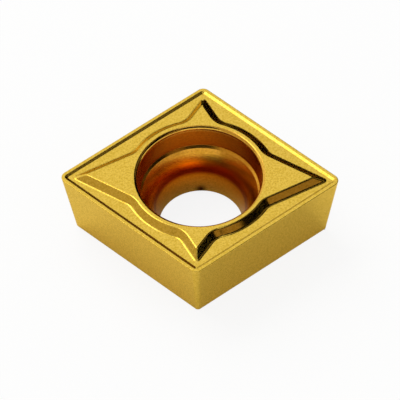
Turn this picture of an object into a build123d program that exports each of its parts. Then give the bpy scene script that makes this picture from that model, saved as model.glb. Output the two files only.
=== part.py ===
from build123d import *
import os
from math import cos, radians, sin, tan

# Carbide insert: a rhombic turning insert, pressed and sintered in one piece, with leaning
# flanks, a moulded chip breaker round a four-pointed boss, and a countersunk screw hole.
# Millimetres, +Z up. The origin is the middle of the seating face, on the axis of the hole.
# The two acute corners lie on the X axis and the two obtuse corners on the Y axis.

# body
inscribed_circle = 9.525     # circle that touches all four cutting edges
edge_height = 3.97           # seating face to cutting edge
corner_angle = 80            # between the edges that meet at an acute corner, degrees
clearance_angle = 7          # lean of the flanks, degrees
nose_radius = 0.4            # corners of the cutting edge
foot_nose_radius = 0.2       # corners of the seating face
edge_hone = 0.03             # rounding along the cutting edge
foot_break = 0.04            # rounding round the seating face
flank_trim = 0.0005          # taken off each flank to true it, between the corners

# chip breaker
land_width = 0.19            # flat strip behind the cutting edge
rake_run = 0.145             # strip that slopes from the land down to the groove
groove_depth = 0.045         # cutting edge down to the groove floor

# boss, which stands higher than the cutting edge
boss_rise = 0.23             # cutting edge up to the top of the boss
boss_wall_run = 0.34         # how far the sloping wall spreads towards its foot
boss_ring = 0.21             # flat ring between the hole's rim and the wall, at the waist
point_angle = 60             # each point of the boss, degrees
acute_setback = 0.80         # acute corner of the cutting edge back to the boss's point
obtuse_setback = 0.75        # the same at an obtuse corner
point_round = 0.12           # foot of a point, seen from above
point_top_round = 0.08       # top of a point
waist_blend = 0.85           # hollow where a point runs into the waist
boss_top_round = 0.10        # top of the wall
boss_foot_round = 0.10       # foot of the wall

# screw hole, from the seating face up
bore_radius = 2.2
bore_chamfer = 0.2
bore_land = 0.4              # straight length of the bore, above its chamfer
seat_radius = 3.0            # hole at the top of the curved seat for the screw's head
seat_height = 2.8            # seating face to the top of the curved seat
ledge_width = 0.14
ledge_rise = 0.10
counterbore_draft = 4        # lean of the counterbore's wall, degrees
rim_round = 0.18             # mouth of the counterbore

half_angle = corner_angle / 2
edge_apothem = inscribed_circle / 2
foot_apothem = edge_apothem - edge_height * tan(radians(clearance_angle))
boss_height = edge_height + boss_rise
groove_height = edge_height - groove_depth
groove_apothem = edge_apothem - land_width - rake_run

ledge_radius = seat_radius + ledge_width
ledge_height = seat_height + ledge_rise
counterbore_radius = ledge_radius + (boss_height - ledge_height) * tan(radians(counterbore_draft))
seat_foot = bore_chamfer + bore_land

acute_point = edge_apothem / sin(radians(half_angle)) - acute_setback
obtuse_point = edge_apothem / sin(radians(90 - half_angle)) - obtuse_setback
waist_radius = counterbore_radius + rim_round + boss_ring + boss_wall_run


def rhombus(height, apothem, corner_round):
    """Rhombus with rounded corners, given by the circle that it encloses."""
    across = apothem / sin(radians(half_angle))
    along = apothem / sin(radians(90 - half_angle))
    with BuildSketch(Plane.XY.offset(height)) as outline:
        Polygon((across, 0), (0, along), (-across, 0), (0, -along))
        fillet(outline.vertices(), corner_round)
    return outline.sketch


def flank_plane(facing):
    """Plane of the flank that faces this way round Z, leaning in towards the seating face."""
    across = cos(radians(facing))
    along = sin(radians(facing))
    lean = tan(radians(clearance_angle))
    on_edge = (edge_apothem * across, edge_apothem * along, edge_height)
    return Plane(origin=on_edge, z_dir=(across, along, -lean))


def star(height, inset, tip_round):
    """Outline of the boss: a round waist with four points, drawn in from the foot by inset."""
    slope = tan(radians(point_angle / 2))
    tip_inset = inset / sin(radians(point_angle / 2))
    long_tip = acute_point - tip_inset
    short_tip = obtuse_point - tip_inset
    with BuildSketch(Plane.XY.offset(height)) as outline:
        Circle(waist_radius - inset)
        Polygon((long_tip, 0), (0, long_tip * slope), (-long_tip, 0), (0, -long_tip * slope))
        Polygon((0, short_tip), (-short_tip * slope, 0), (0, -short_tip), (short_tip * slope, 0))
        tips = outline.vertices().filter_by(lambda v: min(abs(v.X), abs(v.Y)) < 1e-6)
        hollows = outline.vertices() - tips
        fillet(hollows, waist_blend + inset)
        tips = outline.vertices().filter_by(lambda v: min(abs(v.X), abs(v.Y)) < 1e-6)
        fillet(tips, tip_round)
    return outline.sketch


with BuildPart() as insert:
    # body: the seating face is smaller than the cutting edge, so all four flanks lean in
    add(rhombus(0, foot_apothem + flank_trim, foot_nose_radius))
    add(rhombus(edge_height, edge_apothem + flank_trim, nose_radius))
    loft(ruled=True)
    for facing in (90 - half_angle, 90 + half_angle, 270 - half_angle, 270 + half_angle):
        split(bisect_by=flank_plane(facing), keep=Keep.BOTTOM)
    fillet(insert.edges().group_by(Axis.Z)[-1], edge_hone)
    fillet(insert.edges().group_by(Axis.Z)[0], foot_break)

    # groove: the land follows the cutting edge, then the rake slopes down to a level floor
    add(rhombus(edge_height, edge_apothem - land_width, nose_radius - land_width))
    add(rhombus(groove_height, groove_apothem, nose_radius - land_width - rake_run))
    loft(ruled=True, mode=Mode.SUBTRACT)

    # boss
    add(star(groove_height, 0, point_round))
    add(star(boss_height, boss_wall_run, point_top_round))
    loft(ruled=True)
    fillet(insert.faces().sort_by(Axis.Z)[-1].edges(), boss_top_round)
    groove_floor = insert.faces().filter_by(Axis.Z).sort_by(Axis.Z)[1]
    fillet(groove_floor.inner_wires()[0].edges(), boss_foot_round)

    # screw hole: bore, curved seat, ledge and drafted counterbore
    with BuildSketch(Plane.XZ):
        with BuildLine():
            Polyline(
                (0, 0),
                (bore_radius + bore_chamfer, 0),
                (bore_radius, bore_chamfer),
                (bore_radius, seat_foot),
            )
            TangentArc((bore_radius, seat_foot), (seat_radius, seat_height), tangent=(0, 1))
            Polyline(
                (seat_radius, seat_height),
                (ledge_radius, ledge_height),
                (counterbore_radius, boss_height),
                (0, boss_height),
                (0, 0),
            )
        make_face()
    revolve(axis=Axis.Z, mode=Mode.SUBTRACT)
    rim = insert.faces().sort_by(Axis.Z)[-1].inner_wires()[0]
    fillet(rim.edges(), rim_round)

os.makedirs("parts", exist_ok=True)
insert.part.label = "insert"
export_step(insert.part, "parts/insert.step")
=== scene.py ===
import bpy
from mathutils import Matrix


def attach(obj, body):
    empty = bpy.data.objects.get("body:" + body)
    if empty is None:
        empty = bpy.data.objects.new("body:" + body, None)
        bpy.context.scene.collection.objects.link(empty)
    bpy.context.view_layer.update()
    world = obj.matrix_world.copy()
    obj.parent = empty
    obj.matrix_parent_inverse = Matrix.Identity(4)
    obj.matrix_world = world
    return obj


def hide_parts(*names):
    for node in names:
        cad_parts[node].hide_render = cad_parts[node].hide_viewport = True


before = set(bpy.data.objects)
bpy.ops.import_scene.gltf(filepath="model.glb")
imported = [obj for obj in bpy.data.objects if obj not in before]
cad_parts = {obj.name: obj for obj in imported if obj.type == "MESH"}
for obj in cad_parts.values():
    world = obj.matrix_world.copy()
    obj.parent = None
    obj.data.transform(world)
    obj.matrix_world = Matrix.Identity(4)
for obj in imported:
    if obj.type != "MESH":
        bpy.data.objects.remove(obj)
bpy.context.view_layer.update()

import bpy
import bmesh
from math import acos, asin, cos, degrees, pi, radians, sin, tan
from mathutils import Matrix, Vector

# The insert is modelled in millimetres, and brought down to metres once its shells are joined.
mm = 0.001
joinDistance = 1e-3           # points closer than this are one point
sliverWidth = 3e-4            # the same once the edges are round, with their own points close by
middle = (0, 0, 0)


def polar(radius, angle):
    return Vector((radius * cos(radians(angle)), radius * sin(radians(angle)), 0))


def startPiece(name):
    # an empty mesh, left in edit mode
    bpy.ops.object.select_all(action="DESELECT")
    bpy.ops.mesh.primitive_plane_add(size=1)
    piece = bpy.context.object
    piece.name = name
    bpy.ops.object.mode_set(mode="EDIT")
    bpy.ops.mesh.select_mode(type="VERT")
    bpy.ops.mesh.delete(type="VERT")
    return piece


def drawOutline(arcs, height, sideSteps):
    # one point is spun round each arc's centre, then drawn straight on to the next arc; an arc is
    # its centre, radius, start, sweep and steps, with angles in degrees, and spin turns clockwise
    bpy.ops.mesh.select_mode(type="VERT")
    lift = Vector((0, 0, height))
    pen = arcs[0][0] + polar(arcs[0][1], arcs[0][2])
    bpy.ops.mesh.primitive_plane_add(size=0.01, location=pen + lift)
    bpy.ops.mesh.merge(type="CENTER")
    for centre, radius, start, sweep, steps in arcs + [arcs[0][:3] + (0, 0)]:
        side = centre + polar(radius, start) - pen
        if side.length > joinDistance:
            for step in range(sideSteps):
                bpy.ops.mesh.extrude_vertices_move(TRANSFORM_OT_translate={"value": side / sideSteps})
        if sweep:
            bpy.ops.mesh.spin(steps=steps, angle=-radians(sweep), center=centre + lift, axis=(0, 0, 1))
        pen = centre + polar(radius, start + sweep)
    bpy.ops.mesh.select_all(action="SELECT")
    bpy.ops.mesh.remove_doubles(threshold=joinDistance)


def selectEdges(test):
    mesh = bmesh.from_edit_mesh(bpy.context.object.data)
    bpy.ops.mesh.select_mode(type="EDGE")
    bpy.ops.mesh.select_all(action="DESELECT")
    for edge in mesh.edges:
        if test(edge):
            edge.select_set(True)
    bmesh.update_edit_mesh(bpy.context.object.data)


def liesAt(edge, height):
    return all(abs(vertex.co.z - height) < joinDistance for vertex in edge.verts)


def selectOpen(height):
    selectEdges(lambda edge: len(edge.link_faces) < 2 and liesAt(edge, height))


def bridgeAll():
    selectEdges(lambda edge: True)
    bpy.ops.mesh.bridge_edge_loops()


# Tungsten carbide powder, pressed to this shape in a die and sintered hard.
body = {
    "inscribedCircle": 9.525,
    "edgeHeight": 3.97,       # seating face to cutting edge
    "cornerAngle": 80,
    "clearanceAngle": 7,      # lean of the flanks
    "noseRadius": 0.4,
    "footNoseRadius": 0.2,
    "landWidth": 0.19,        # level strip behind the cutting edge
    "rakeRun": 0.145,         # strip that slopes from the land down to the groove
    "grooveDepth": 0.045,
    "noseSteps": 14,
    "sideSteps": 20,
}

edgeApothem = body["inscribedCircle"] / 2
footApothem = edgeApothem - body["edgeHeight"] * tan(radians(body["clearanceAngle"]))
grooveHeight = body["edgeHeight"] - body["grooveDepth"]


def rhombusArcs(apothem, noseRadius):
    # acute corners on the X axis, obtuse ones on the Y axis
    arcs = []
    for quarter in range(4):
        half = body["cornerAngle"] / 2 if quarter % 2 == 0 else 90 - body["cornerAngle"] / 2
        centre = polar((apothem - noseRadius) / sin(radians(half)), 90 * quarter)
        arcs.append((centre, noseRadius, 90 * quarter - (90 - half), 2 * (90 - half), body["noseSteps"]))
    return arcs


def makeBody():
    # seating face and cutting edge are drawn and bridged, so that the flanks lean in; two insets
    # then make the land and the rake
    piece = startPiece("bodyShell")
    drawOutline(rhombusArcs(footApothem, body["footNoseRadius"]), 0, body["sideSteps"])
    drawOutline(rhombusArcs(edgeApothem, body["noseRadius"]), body["edgeHeight"], body["sideSteps"])
    bridgeAll()
    selectOpen(body["edgeHeight"])
    bpy.ops.mesh.edge_face_add()
    bpy.ops.mesh.inset(thickness=body["landWidth"], depth=0)
    bpy.ops.mesh.inset(thickness=body["rakeRun"], depth=-body["grooveDepth"])
    bpy.ops.mesh.delete(type="ONLY_FACE")
    bpy.ops.object.mode_set(mode="OBJECT")
    print("body shell:", len(piece.data.polygons), "faces")
    return piece


# The four-pointed boss of the chip breaker.
boss = {
    "rise": 0.23,             # cutting edge up to its top
    "wallRun": 0.34,
    "acuteTip": 6.609,        # sharp points of the foot, from the middle
    "obtuseTip": 5.467,
    "pointAngle": 60,
    "tipRound": 0.12,
    "topTipRound": 0.08,
    "waistRadius": 3.955,
    "waistBlend": 0.85,       # hollow where a point runs into the waist
    "footSkirt": 0.10,        # clean strips beside the wall, for its rounds to run out on
    "topSkirt": 0.075,
    "tipSteps": 10,
    "sideSteps": 14,
    "blendSteps": 12,
    "waistSteps": 18,
}

bossHeight = body["edgeHeight"] + boss["rise"]


def starArcs(inset, tipRound):
    # each quarter has a point, a hollow, a stretch of the round waist and the next point's hollow
    half = boss["pointAngle"] / 2
    waist = boss["waistRadius"] - inset
    blend = boss["waistBlend"] + inset
    lines = [tip * sin(radians(half)) - inset for tip in (boss["acuteTip"], boss["obtuseTip"])]
    turns = [degrees(acos((line + blend) / (waist + blend))) for line in lines]
    arcs = []
    for quarter in range(4):
        axis = 90 * quarter
        line, turn, nextTurn = lines[quarter % 2], turns[quarter % 2], turns[(quarter + 1) % 2]
        leaving = axis + 90 - half - turn           # where the hollows' centres stand round the waist
        arriving = axis + half + nextTurn
        arcs.append((polar((line - tipRound) / sin(radians(half)), axis), tipRound,
                     axis - (90 - half), 2 * (90 - half), boss["tipSteps"]))
        arcs.append((polar(waist + blend, leaving), blend, axis + 270 - half, -turn, boss["blendSteps"]))
        arcs.append((Vector(middle), waist, leaving, arriving - leaving, boss["waistSteps"]))
        arcs.append((polar(waist + blend, arriving), blend, arriving + 180, -nextTurn, boss["blendSteps"]))
    return arcs


def makeBoss():
    wall = startPiece("bossWall")
    drawOutline(starArcs(0, boss["tipRound"]), grooveHeight, boss["sideSteps"])
    drawOutline(starArcs(boss["wallRun"], boss["topTipRound"]), bossHeight, boss["sideSteps"])
    bridgeAll()
    selectOpen(bossHeight)
    bpy.ops.mesh.edge_face_add()
    bpy.ops.mesh.inset(thickness=boss["topSkirt"], depth=0)
    bpy.ops.mesh.delete(type="ONLY_FACE")
    bpy.ops.object.mode_set(mode="OBJECT")
    print("boss wall:", len(wall.data.polygons), "faces")
    return wall


def makeSkirt():
    # level strip round the foot of the boss
    skirt = startPiece("bossSkirt")
    skirtTip = boss["tipRound"] + boss["footSkirt"]
    drawOutline(starArcs(0, boss["tipRound"]), grooveHeight, boss["sideSteps"])
    drawOutline(starArcs(-boss["footSkirt"], skirtTip), grooveHeight, boss["sideSteps"])
    bridgeAll()
    bpy.ops.object.mode_set(mode="OBJECT")
    print("strip round the boss:", len(skirt.data.polygons), "faces")
    return skirt


# The screw hole, from the seating face up. A pair is the radius and height of one ring.
hole = {
    "mouth": (2.4, 0.0),
    "boreFoot": (2.2, 0.2),
    "boreTop": (2.2, 0.6),
    "seatTop": (3.0, 2.8),
    "ledgeTop": (3.14, 2.9),
    "draft": 4,               # lean of the wall above the ledge, degrees
    "rimSkirt": 3.47,         # radius of the clean strip round the upper mouth
    "seatSteps": 14,
    "ringVertices": 240,
}


def seatRings():
    # the seat for the screw's head starts upright at the top of the bore and curves outwards
    (boreRadius, start), (topRadius, top) = hole["boreTop"], hole["seatTop"]
    out, up = topRadius - boreRadius, top - start
    curve = (out * out + up * up) / (2 * out)
    reach = degrees(asin(up / curve))
    rings = []
    for step in range(1, hole["seatSteps"] + 1):
        turn = radians(reach * step / hole["seatSteps"])
        rings.append((boreRadius + curve - curve * cos(turn), start + curve * sin(turn)))
    return rings


def makeHole():
    ledgeRadius, ledgeHeight = hole["ledgeTop"]
    rimRadius = ledgeRadius + (bossHeight - ledgeHeight) * tan(radians(hole["draft"]))
    rings = [hole["mouth"], hole["boreFoot"], hole["boreTop"]] + seatRings()
    rings += [hole["ledgeTop"], (rimRadius, bossHeight), (hole["rimSkirt"], bossHeight)]
    bpy.ops.object.select_all(action="DESELECT")
    bpy.ops.mesh.primitive_circle_add(vertices=hole["ringVertices"], radius=rings[0][0])
    piece = bpy.context.object
    piece.name = "holeShell"
    bpy.ops.object.mode_set(mode="EDIT")
    for (radius, height), (nextRadius, nextHeight) in zip(rings, rings[1:]):
        bpy.ops.mesh.extrude_region_move(TRANSFORM_OT_translate={"value": (0, 0, nextHeight - height)})
        grow = nextRadius / radius
        bpy.ops.transform.resize(value=(grow, grow, 1), center_override=(0, 0, nextHeight))
    bpy.ops.object.mode_set(mode="OBJECT")
    print("hole shell:", len(piece.data.polygons), "faces")
    return piece


# Die and brush leave no sharp edge. Each round is a thin line of another reflection: dark or
# bright beside the land and the boss, soft and wide at the mouth of the hole.
# An edge is found by its height and by how far its faces turn, in degrees, from and to.
# setBack is the width of its round on either side of the sharp edge.
rounds = {
    "rakeTop": {"height": body["edgeHeight"], "turn": (8, 30), "setBack": 0.035, "segments": 5},
    "rakeFoot": {"height": grooveHeight, "turn": (8, 20), "setBack": 0.035, "segments": 5},
    "cuttingEdge": {"height": body["edgeHeight"], "turn": (60, 120), "setBack": 0.038, "segments": 4},
    "seatingEdge": {"height": 0, "turn": (60, 120), "setBack": 0.04, "segments": 3},
    "bossFoot": {"height": grooveHeight, "turn": (20, 60), "setBack": 0.085, "segments": 5},
    "bossTop": {"height": bossHeight, "turn": (20, 60), "setBack": 0.062, "segments": 4},
    "upperMouth": {"height": bossHeight, "turn": (60, 120), "setBack": 0.205, "segments": 9},
    "ledgeTop": {"height": hole["ledgeTop"][1], "turn": (20, 90), "setBack": 0.02, "segments": 3},
    "seatTop": {"height": hole["seatTop"][1], "turn": (5, 40), "setBack": 0.02, "segments": 2},
    "boreFoot": {"height": hole["boreFoot"][1], "turn": (20, 90), "setBack": 0.02, "segments": 2},
    "lowerMouth": {"height": 0, "turn": (20, 60), "setBack": 0.02, "segments": 2},
}


def roundEdges(height, turn, setBack, segments):
    def creased(edge):
        if len(edge.link_faces) != 2 or not liesAt(edge, height):
            return False
        return turn[0] < degrees(edge.calc_face_angle()) < turn[1]
    selectEdges(creased)
    bpy.ops.mesh.bevel(offset_type="OFFSET", offset=setBack, segments=segments, profile=0.5,
                       affect="EDGES", loop_slide=True)


def joinShells(shells):
    bpy.ops.object.select_all(action="DESELECT")
    for shell in shells:
        shell.select_set(True)
    bpy.context.view_layer.objects.active = shells[0]
    bpy.ops.object.join()
    piece = bpy.context.object
    piece.name = "sinteredInsert"
    piece.data.name = "sinteredInsert"
    bpy.ops.object.mode_set(mode="EDIT")
    bpy.ops.mesh.select_all(action="SELECT")
    bpy.ops.mesh.remove_doubles(threshold=joinDistance)
    for height in (0, grooveHeight, bossHeight):    # seating face, groove floor and top of the boss
        selectOpen(height)
        bpy.ops.mesh.fill(use_beauty=True)
    bpy.ops.mesh.select_all(action="SELECT")
    bpy.ops.mesh.normals_make_consistent(inside=False)
    for edges in rounds.values():
        roundEdges(**edges)
    bpy.ops.mesh.select_all(action="SELECT")
    bpy.ops.mesh.remove_doubles(threshold=sliverWidth)      # where rounds meet at a corner
    bpy.ops.object.mode_set(mode="OBJECT")
    bpy.ops.object.shade_smooth()
    bpy.ops.object.modifier_add(type="WEIGHTED_NORMAL")     # keeps the flats flat beside the rounds
    weighted = piece.modifiers[-1]
    weighted.mode = "FACE_AREA"
    weighted.weight = 100
    bpy.ops.object.modifier_apply(modifier=weighted.name)
    bpy.ops.transform.resize(value=(mm, mm, mm), center_override=middle)
    bpy.ops.object.transform_apply(location=True, rotation=True, scale=True)
    print("insert joined:", len(piece.data.polygons), "faces")
    return piece


insert = joinShells([makeBody(), makeBoss(), makeSkirt(), makeHole()])
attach(insert, "root")
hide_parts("insert")


def toLinear(hexColour):
    channels = [int(hexColour[i:i + 2], 16) / 255 for i in (0, 2, 4)]
    return [c / 12.92 if c <= 0.04045 else ((c + 0.055) / 1.055) ** 2.4 for c in channels] + [1]


def addNode(tree, kind, settings={}, **inputs):
    # an input goes by its name with _ for a space, or by n and its number
    node = tree.nodes.new(kind)
    for name, value in settings.items():
        setattr(node, name, value)
    for name, value in inputs.items():
        byNumber = name[0] == "n" and name[1:].isdigit()
        socket = node.inputs[int(name[1:])] if byNumber else node.inputs[name.replace("_", " ")]
        if isinstance(value, bpy.types.NodeSocket):
            tree.links.new(value, socket)
        else:
            socket.default_value = value
    return node


def startMaterial(name):
    material = bpy.data.materials.new(name)
    material.use_nodes = True
    material.node_tree.nodes.clear()
    return material, material.node_tree


# Titanium nitride, a golden film a few thousandths of a millimetre thick with a metal's shine,
# grown from vapour on blasted carbide. It is too thin to hide the grain, which shows as a fine
# sparkle, and it mirrors the studio softly. Less vapour reaches down the hole, where the coat is
# redder; on that colour lie bands of painted shade and painted highlight, and a spot of painted
# shade low at the back of the bore. Lengths are in millimetres.
coating = {
    "gold": "E4C04A",
    "edgeTint": (1.0, 0.9, 0.6),    # at a glancing angle the gold pales
    "holeReach": 3.42,              # the coat of the hole begins inside this radius
    "holeFade": 0.03,
    # its colour at each height, from the seating face to the top of the boss: the redder coat, with
    # painted shade in the dark bands and a painted highlight in the bright orange band
    "holeHueAndPaintedLight": ((0.01, "DCB448"), (0.12, "CC9030"), (0.22, "CC8622"), (0.345, "D07810"),
                 (0.385, "A03808"), (0.43, "A43808"), (0.455, "DC6C0A"), (0.49, "F09820"),
                 (0.55, "F2B83C"), (0.64, "DCA034"), (0.68, "DCA034"), (0.70, "B85A06"),
                 (0.93, "C87010"), (0.97, "E0B044")),
    "paintedShadeAt": (-0.08, 2.2, 0.36),   # painted shade: a dark spot low at the back of the bore, standing in for the dark floor it mirrors there
    "paintedShadeReach": 0.44,
    "paintedShadeColour": "3C0A02",
    "grainSize": 0.095,             # real grain is near 0.02, too fine to show
    "grainDepth": 0.003,
    "grainDetail": 3,
    "grainRoughness": 0.6,
    "grainSpan": (0.36, 0.60),      # values of the noise for the darkest and the palest grain
    "darkGrain": (0.84, 0.79, 0.56),
    "paleGrain": (1.06, 1.05, 1.26),
    "wallGrain": 0.55,              # share of the grain's relief where the punch pressed smoother
    "wallSlope": (0.97, 0.85),      # upward part of the normal, from the flats to the boss's walls
    "wallFoot": 0.02,
    "ringSpacing": 0.12,            # rings that the core of the die leaves round the hole
    "ringDepth": 0.0022,
    "ringDetail": 1,
    "roughness": 0.15,
    "flankRoughness": 0.24,         # the flanks drag along the die and come out duller
    "flankTop": 3.85,
    "flankFade": 0.1,
}


def makeCoating():
    material, tree = startMaterial("titaniumNitrideCoatedCarbide")
    place = addNode(tree, "ShaderNodeTexCoord").outputs["Object"]
    axes = addNode(tree, "ShaderNodeSeparateXYZ", Vector=place)
    height = axes.outputs["Z"]

    # gold outside, and down the hole a colour for each height, with painted shade and painted highlight
    # bands in it
    plan = addNode(tree, "ShaderNodeCombineXYZ", X=axes.outputs["X"], Y=axes.outputs["Y"])
    radius = addNode(tree, "ShaderNodeVectorMath", {"operation": "LENGTH"}, n0=plan.outputs[0])
    inHole = addNode(tree, "ShaderNodeMapRange", Value=radius.outputs["Value"],
                     From_Min=coating["holeReach"] * mm,
                     From_Max=(coating["holeReach"] - coating["holeFade"]) * mm)
    upHole = addNode(tree, "ShaderNodeMapRange", Value=height, From_Min=0, From_Max=bossHeight * mm)
    holeHueAndPaintedLight = addNode(tree, "ShaderNodeValToRGB", Fac=upHole.outputs[0])
    ramp = holeHueAndPaintedLight.color_ramp
    for position, colour in coating["holeHueAndPaintedLight"]:
        stop = ramp.elements.new(position)
        stop.color = toLinear(colour)
    ramp.elements.remove(ramp.elements[0])          # the two stops that every ramp starts with
    ramp.elements.remove(ramp.elements[-1])
    # the coat's colour, with the painted shade and painted highlight bands down the hole
    coat = addNode(tree, "ShaderNodeMix", {"data_type": "RGBA"}, n0=inHole.outputs[0],
                   n6=toLinear(coating["gold"]), n7=holeHueAndPaintedLight.outputs["Color"])
    # painted shade: a dark spot low at the back of the bore, standing in for the dark floor it mirrors
    # there
    toPaintedShade = addNode(tree, "ShaderNodeVectorMath", {"operation": "DISTANCE"}, n0=place,
                     n1=tuple(side * mm for side in coating["paintedShadeAt"]))
    paintedShadeMask = addNode(tree, "ShaderNodeMapRange", {"interpolation_type": "SMOOTHSTEP"},
                     Value=toPaintedShade.outputs["Value"], From_Min=coating["paintedShadeReach"] * mm, From_Max=0)
    withPaintedShade = addNode(tree, "ShaderNodeMix", {"data_type": "RGBA"}, n0=paintedShadeMask.outputs[0],
                      n6=coat.outputs[2], n7=toLinear(coating["paintedShadeColour"]))

    # each grain is a little darker or paler than the next
    darkest, palest = coating["grainSpan"]
    grain = addNode(tree, "ShaderNodeTexNoise", Vector=place, Scale=1 / (coating["grainSize"] * mm),
                    Detail=coating["grainDetail"], Roughness=coating["grainRoughness"])
    shade = addNode(tree, "ShaderNodeMapRange", Value=grain.outputs["Fac"], From_Min=darkest,
                    From_Max=palest)
    tint = addNode(tree, "ShaderNodeMix", {"data_type": "RGBA"}, n0=shade.outputs[0],
                   n6=(*coating["darkGrain"], 1), n7=(*coating["paleGrain"], 1))
    speckled = addNode(tree, "ShaderNodeMix", {"data_type": "RGBA", "blend_type": "MULTIPLY"}, n0=1.0,
                       n6=withPaintedShade.outputs[2], n7=tint.outputs[2])

    # and leans its own way, less so on the walls of the boss
    onFlat, onSlope = coating["wallSlope"]
    facing = addNode(tree, "ShaderNodeNewGeometry").outputs["True Normal"]
    upward = addNode(tree, "ShaderNodeSeparateXYZ", Vector=facing).outputs["Z"]
    sloping = addNode(tree, "ShaderNodeMapRange", Value=upward, From_Min=onFlat, From_Max=onSlope)
    onBoss = addNode(tree, "ShaderNodeMapRange", Value=height,
                     From_Min=(grooveHeight - coating["wallFoot"]) * mm,
                     From_Max=(grooveHeight + coating["wallFoot"]) * mm)
    onWall = addNode(tree, "ShaderNodeMath", {"operation": "MULTIPLY"}, n0=sloping.outputs[0],
                     n1=onBoss.outputs[0])
    relief = addNode(tree, "ShaderNodeMapRange", Value=onWall.outputs[0], To_Min=1,
                     To_Max=coating["wallGrain"])
    grainBump = addNode(tree, "ShaderNodeBump", Strength=relief.outputs[0],
                        Distance=coating["grainDepth"] * mm, Height=grain.outputs["Fac"])

    # rings round the hole, from a noise that changes only with height
    rings = addNode(tree, "ShaderNodeTexNoise", {"noise_dimensions": "1D"}, W=height,
                    Scale=1 / (coating["ringSpacing"] * mm), Detail=coating["ringDetail"])
    ringHeight = addNode(tree, "ShaderNodeMath", {"operation": "MULTIPLY"}, n0=rings.outputs["Fac"],
                         n1=inHole.outputs[0])
    ringBump = addNode(tree, "ShaderNodeBump", Strength=1, Distance=coating["ringDepth"] * mm,
                       Height=ringHeight.outputs[0], Normal=grainBump.outputs["Normal"])

    dullness = addNode(tree, "ShaderNodeMapRange", Value=height, From_Min=coating["flankTop"] * mm,
                       From_Max=(coating["flankTop"] + coating["flankFade"]) * mm,
                       To_Min=coating["flankRoughness"], To_Max=coating["roughness"])
    shader = addNode(tree, "ShaderNodeBsdfPrincipled", Base_Color=speckled.outputs[2], Metallic=1,
                     Roughness=dullness.outputs[0], Specular_Tint=(*coating["edgeTint"], 1),
                     Normal=ringBump.outputs["Normal"])
    addNode(tree, "ShaderNodeOutputMaterial", Surface=shader.outputs[0])
    print("coating:", len(tree.nodes), "nodes")
    return material


insert.data.materials.clear()
insert.data.materials.append(makeCoating())


# White paper, pressed smooth but matt. To the camera it is all but plain white, with a faint
# shadow round the foot. The rest of it is lit as any paper is.
paperFloor = {
    "size": 6,                # metres
    "drop": 0.02,             # millimetres that it lies below the seating face
    "paper": "F7F7F5",
    "whiteToCamera": 0.87,    # share of plain white in what the camera finds
    "whiteToGloss": 0.04,     # and in what the coating reflects
}


def makeFloor():
    bpy.ops.object.select_all(action="DESELECT")
    bpy.ops.mesh.primitive_plane_add(size=paperFloor["size"], location=(0, 0, -paperFloor["drop"] * mm))
    floor = bpy.context.object
    floor.name = "paleFloor"
    material, tree = startMaterial("whitePaper")
    paper = addNode(tree, "ShaderNodeBsdfDiffuse", Color=toLinear(paperFloor["paper"]))
    white = addNode(tree, "ShaderNodeEmission", Strength=1)
    path = addNode(tree, "ShaderNodeLightPath")
    mirrored = addNode(tree, "ShaderNodeMath", {"operation": "MAXIMUM"},
                       n0=path.outputs["Is Glossy Ray"], n1=path.outputs["Is Transmission Ray"])
    toGloss = addNode(tree, "ShaderNodeMath", {"operation": "MULTIPLY"}, n0=mirrored.outputs[0],
                      n1=paperFloor["whiteToGloss"])
    lift = addNode(tree, "ShaderNodeMath", {"operation": "MULTIPLY_ADD"},
                   n0=path.outputs["Is Camera Ray"], n1=paperFloor["whiteToCamera"],
                   n2=toGloss.outputs[0])
    both = addNode(tree, "ShaderNodeMixShader", Fac=lift.outputs[0], n1=paper.outputs[0],
                   n2=white.outputs[0])
    addNode(tree, "ShaderNodeOutputMaterial", Surface=both.outputs[0])
    floor.data.materials.append(material)
    print("floor laid")


# Dyed cloths stand round the insert, as round any shiny thing on a studio table. Only the coating
# sees them: they draw the dark bands on the boss and in the hole, and shade the flanks and edges.
# Azimuth from +X and elevation are in degrees, from and to, and distance is in metres.
clothSteps = {"upwards": 16, "round": 24}
cloths = {
    "blackFlag": {"azimuth": (-27, 20), "elevation": (22, 60), "distance": 0.45, "dye": "080604"},
    "lowFlag": {"azimuth": (16, 50), "elevation": (0, 26), "distance": 0.45, "dye": "080604"},
    "warmFlag": {"azimuth": (20, 50), "elevation": (26, 60), "distance": 0.45, "dye": "7E7466"},
    "backFlag": {"azimuth": (50, 82), "elevation": (0, 60), "distance": 0.45, "dye": "080604"},
    "upperFlag": {"azimuth": (-56, 22), "elevation": (58, 77), "distance": 0.46, "dye": "080604"},
    "brownFlag": {"azimuth": (22, 52), "elevation": (60, 77), "distance": 0.45, "dye": "75695A"},
    "overFlag": {"azimuth": (52, 82), "elevation": (60, 74), "distance": 0.45, "dye": "080604"},
    "lowBrown": {"azimuth": (70, 80), "elevation": (22.5, 30), "distance": 0.43, "dye": "956521"},
    "sideFlag": {"azimuth": (82, 87), "elevation": (0, 40), "distance": 0.45, "dye": "080604"},
    "paleKerb": {"azimuth": (96, 116), "elevation": (16, 31), "distance": 0.45, "dye": "CCC6BA"},
    "footFlag": {"azimuth": (40, 87), "elevation": (0, 10), "distance": 0.03, "dye": "080604"},
    "kerbFlag": {"azimuth": (87, 116), "elevation": (0, 17), "distance": 0.03, "dye": "080604"},
    "dimSide": {"azimuth": (-56, -27), "elevation": (36, 58), "distance": 0.45, "dye": "B09272"},
    "lowSide": {"azimuth": (-58, -27), "elevation": (25, 36), "distance": 0.46, "dye": "30201A"},
    "cameraSide": {"azimuth": (234, 304), "elevation": (36, 74), "distance": 0.45, "dye": "2C2A28"},
    "greySide": {"azimuth": (168, 236), "elevation": (10, 74), "distance": 0.45, "dye": "DCCDB4"},
    "greyTop": {"azimuth": (82, 333), "elevation": (74, 89.9), "distance": 0.45, "dye": "C8C8C8"},
}


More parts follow.
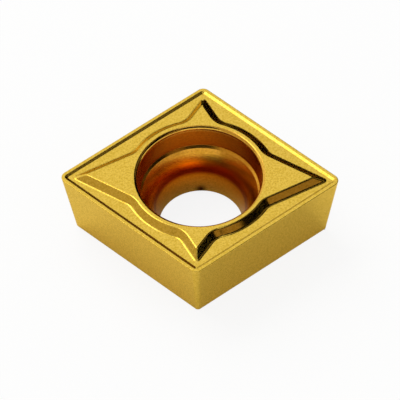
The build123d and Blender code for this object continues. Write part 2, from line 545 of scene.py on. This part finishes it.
def makeCloth(name, cloth):
    # one point is spun upwards into an arc, and the arc is spun round the upright axis; the panel
    # starts on the X axis and is turned to its place
    low, high = [radians(angle) for angle in cloth["elevation"]]
    right, left = [radians(angle) for angle in cloth["azimuth"]]
    bpy.ops.object.select_all(action="DESELECT")
    bpy.ops.mesh.primitive_plane_add(size=0.001)
    panel = bpy.context.object
    panel.name = name
    bpy.ops.object.mode_set(mode="EDIT")
    bpy.ops.mesh.select_mode(type="VERT")
    bpy.ops.mesh.merge(type="CENTER")
    bpy.ops.transform.translate(value=Vector((cos(low), 0, sin(low))) * cloth["distance"])
    bpy.ops.mesh.spin(steps=clothSteps["upwards"], angle=high - low, center=middle, axis=(0, 1, 0))
    bpy.ops.mesh.select_all(action="SELECT")
    bpy.ops.mesh.spin(steps=clothSteps["round"], angle=right - left, center=middle, axis=(0, 0, 1))
    bpy.ops.object.mode_set(mode="OBJECT")
    panel.rotation_euler.z = right
    material, tree = startMaterial(name + "Cloth")
    weave = addNode(tree, "ShaderNodeBsdfDiffuse", Color=toLinear(cloth["dye"]))
    addNode(tree, "ShaderNodeOutputMaterial", Surface=weave.outputs[0])
    panel.data.materials.append(material)
    panel.visible_camera = False
    panel.visible_diffuse = False
    panel.visible_shadow = False


# A key lamp for the floor and its shadow, and a small softbox that the coating mirrors as the
# bright strip along one edge. Level is the brightness of a lamp's face, where 1 is white.
lamps = {
    "softbox": {"azimuth": 138, "elevation": 60, "distance": 0.4, "size": (0.15, 0.11), "level": 2.0,
                "mirrored": True},
    "key": {"azimuth": 134, "elevation": 48, "distance": 0.4, "size": (0.32, 0.32), "level": 2.25,
            "mirrored": False},
}


def makeLamp(name, lamp):
    across, up = radians(lamp["azimuth"]), radians(lamp["elevation"])
    away = Vector((cos(up) * cos(across), cos(up) * sin(across), sin(up)))
    data = bpy.data.lights.new(name, "AREA")
    data.shape = "RECTANGLE"
    data.size, data.size_y = lamp["size"]
    data.energy = lamp["level"] * pi * lamp["size"][0] * lamp["size"][1]
    box = bpy.data.objects.new(name, data)
    bpy.context.scene.collection.objects.link(box)
    box.location = away * lamp["distance"]
    box.rotation_mode = "QUATERNION"
    box.rotation_quaternion = away.to_track_quat("Z", "Y")
    box.visible_glossy = lamp["mirrored"]
    box.visible_camera = False


# The white room lights the object at its level, and camera and reflections find it plain white.
room = {"level": 0.62}


def makeRoom():
    world = bpy.data.worlds.new("studio")
    bpy.context.scene.world = world
    world.use_nodes = True
    tree = world.node_tree
    tree.nodes.clear()
    path = addNode(tree, "ShaderNodeLightPath")
    seen = addNode(tree, "ShaderNodeMath", {"operation": "MAXIMUM"},
                   n0=path.outputs["Is Camera Ray"], n1=path.outputs["Is Glossy Ray"])
    white = addNode(tree, "ShaderNodeMath", {"operation": "MAXIMUM"}, n0=seen.outputs[0],
                    n1=path.outputs["Is Transmission Ray"])
    strength = addNode(tree, "ShaderNodeMapRange", Value=white.outputs[0], To_Min=room["level"], To_Max=1)
    walls = addNode(tree, "ShaderNodeBackground", Color=(1, 1, 1, 1), Strength=strength.outputs[0])
    addNode(tree, "ShaderNodeOutputWorld", Surface=walls.outputs[0])
    print("room lit, with", len(lamps), "lamps and", len(cloths), "cloths")


lens = {
    "azimuth": 3.0558,        # turn from straight in front, degrees
    "elevation": 51.5678,
    "roll": -1.6782,
    "distance": 0.228498,     # metres
    "aim": (-0.0206, 0.12),   # millimetres right of and above the middle of the insert
    "focalLength": 394.0,
}


def makeCamera():
    turn = (Matrix.Rotation(radians(lens["azimuth"]), 3, "Z")
            @ Matrix.Rotation(radians(90 - lens["elevation"]), 3, "X"))
    right, up, back = turn.col
    aim = Vector((0, 0, body["edgeHeight"] / 2)) + lens["aim"][0] * right + lens["aim"][1] * up
    data = bpy.data.cameras.new("camera")
    data.lens = lens["focalLength"]
    data.clip_start, data.clip_end = 0.01, 20
    camera = bpy.data.objects.new("camera", data)
    bpy.context.scene.collection.objects.link(camera)
    tilted = turn @ Matrix.Rotation(radians(lens["roll"]), 3, "Z")
    camera.matrix_world = Matrix.Translation(aim * mm + lens["distance"] * back) @ tilted.to_4x4()
    bpy.context.scene.camera = camera
    print("camera placed")


makeFloor()
for name, cloth in cloths.items():
    makeCloth(name, cloth)
for name, lamp in lamps.items():
    makeLamp(name, lamp)
makeRoom()
makeCamera()
bpy.context.scene.view_settings.view_transform = "Standard"
